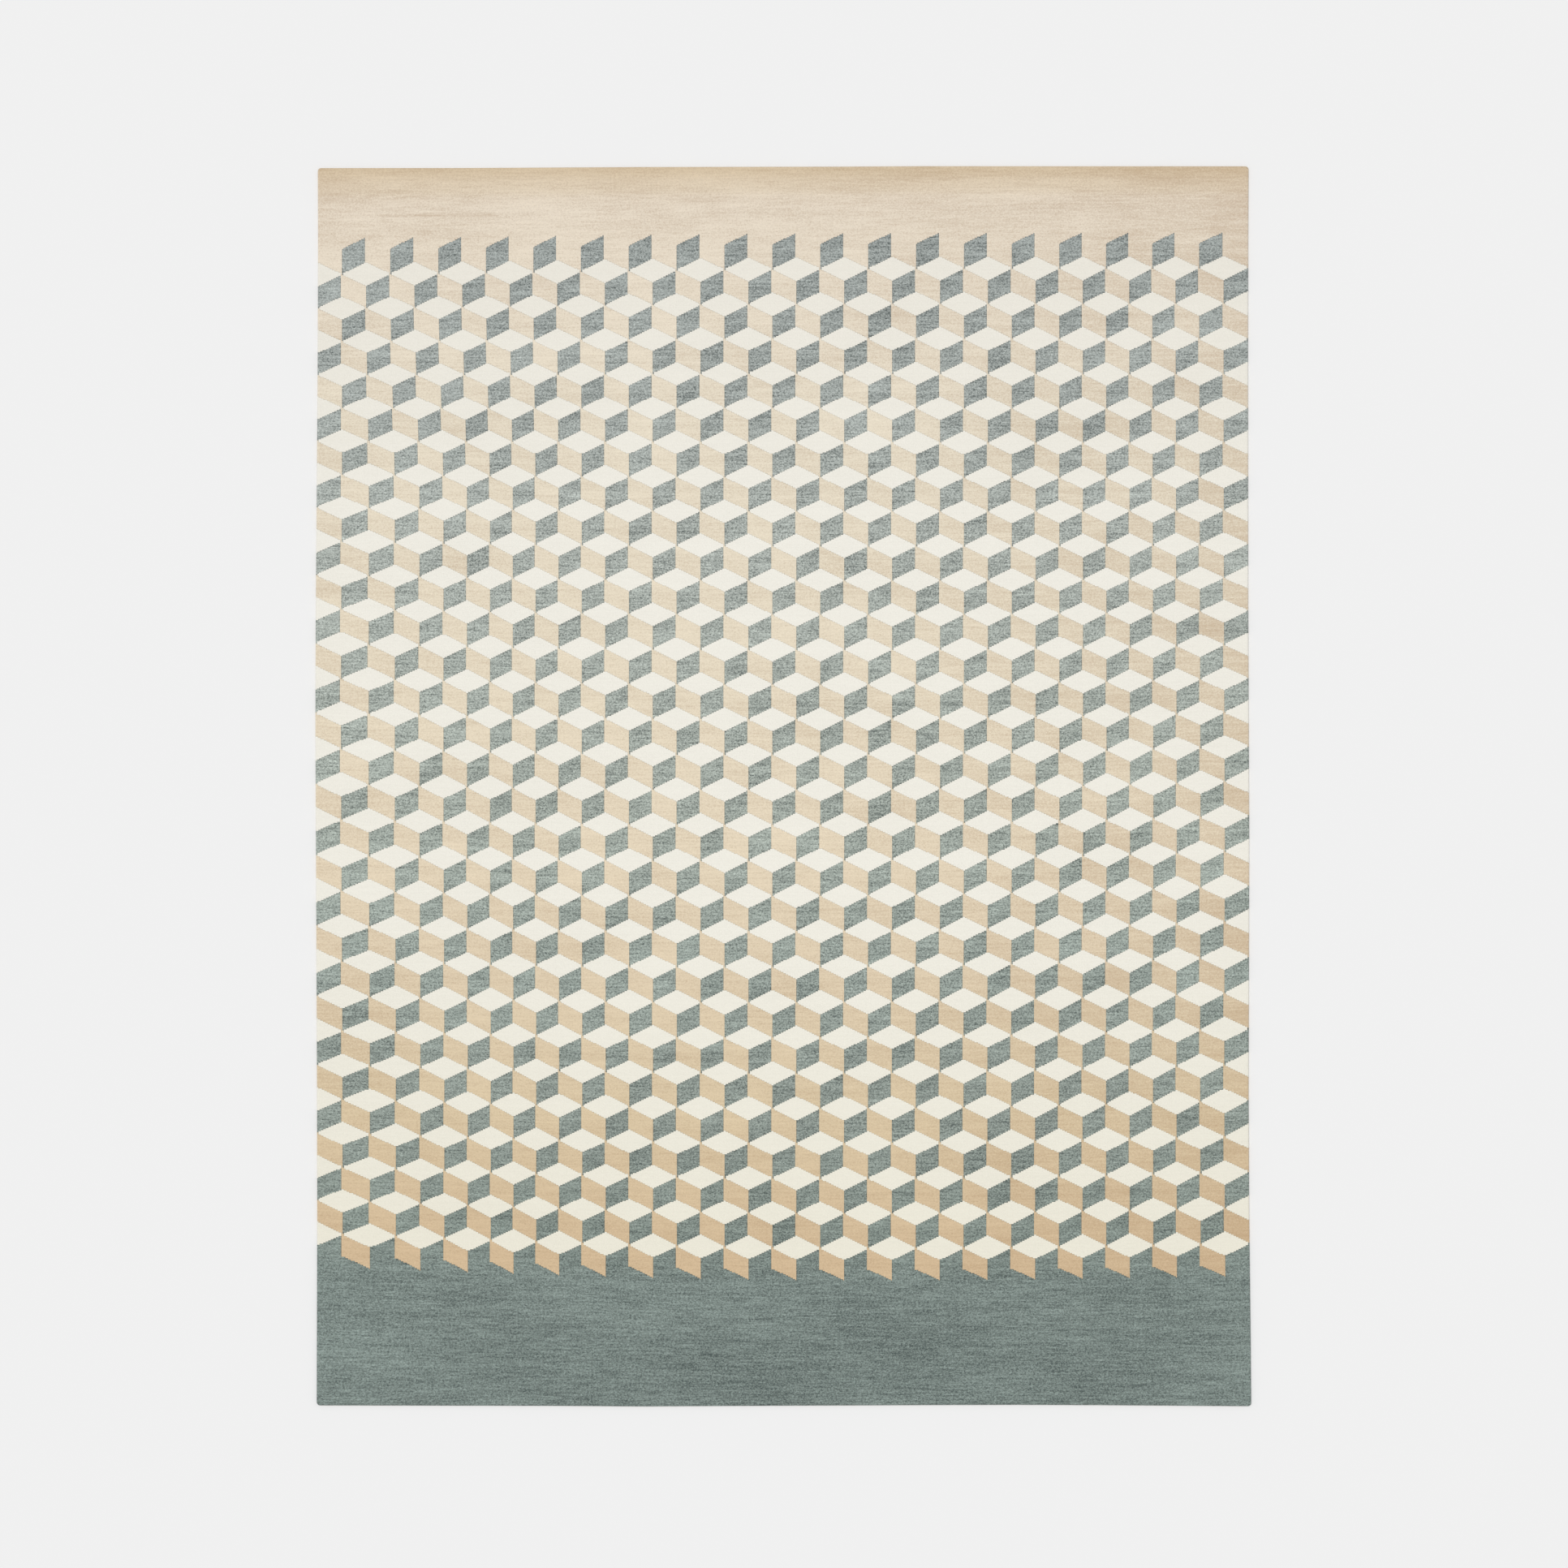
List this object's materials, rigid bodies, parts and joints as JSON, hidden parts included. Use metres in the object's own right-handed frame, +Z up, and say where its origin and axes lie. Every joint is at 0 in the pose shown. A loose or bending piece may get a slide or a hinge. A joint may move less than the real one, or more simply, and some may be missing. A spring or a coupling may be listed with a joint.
{
  "type": "area rug",
  "caption": "Rectangular hand-knotted area rug with a field of tumbling blocks in ivory, tan and blue-grey between two plain end bands.",
  "frame": {"origin": "middle of the underside, on the floor", "axes": "+Y along the length towards the tan end band, +X across the width to the right of that, +Z up out of the pile"},
  "size_m": [2.75, 3.65, 0.01],
  "materials": {
    "ivory_wool": "soft sheared wool pile",
    "tan_yarn": "silky sheared pile with a soft sheen",
    "blue_grey_wool": "heathered sheared wool pile",
    "knot_back_yarn": "ribbed rows of knot collars",
    "foundation_cotton": "plied undyed cotton",
    "tape_cotton": "herringbone cotton tape",
    "sewing_thread": "matt waxed thread"
  },
  "bodies": {
    "root": {"ivory_pile": "ivory_wool", "tan_face_pile": "tan_yarn", "blue_face_pile": "blue_grey_wool", "tan_band_pile": "tan_yarn", "blue_band_pile": "blue_grey_wool", "knot_backs": "knot_back_yarn", "warp_threads": "foundation_cotton", "weft_threads": "foundation_cotton", "left_edge_cords": "foundation_cotton", "right_edge_cords": "foundation_cotton", "left_tan_overcast": "tan_yarn", "right_tan_overcast": "tan_yarn", "left_blue_overcast": "blue_grey_wool", "right_blue_overcast": "blue_grey_wool", "tan_end_kilim": "foundation_cotton", "blue_end_kilim": "foundation_cotton", "tan_end_lock_cord": "foundation_cotton", "blue_end_lock_cord": "foundation_cotton", "tan_end_tape": "tape_cotton", "blue_end_tape": "tape_cotton", "tan_end_stitches": "sewing_thread", "blue_end_stitches": "sewing_thread"}
  },
  "joints": []
}
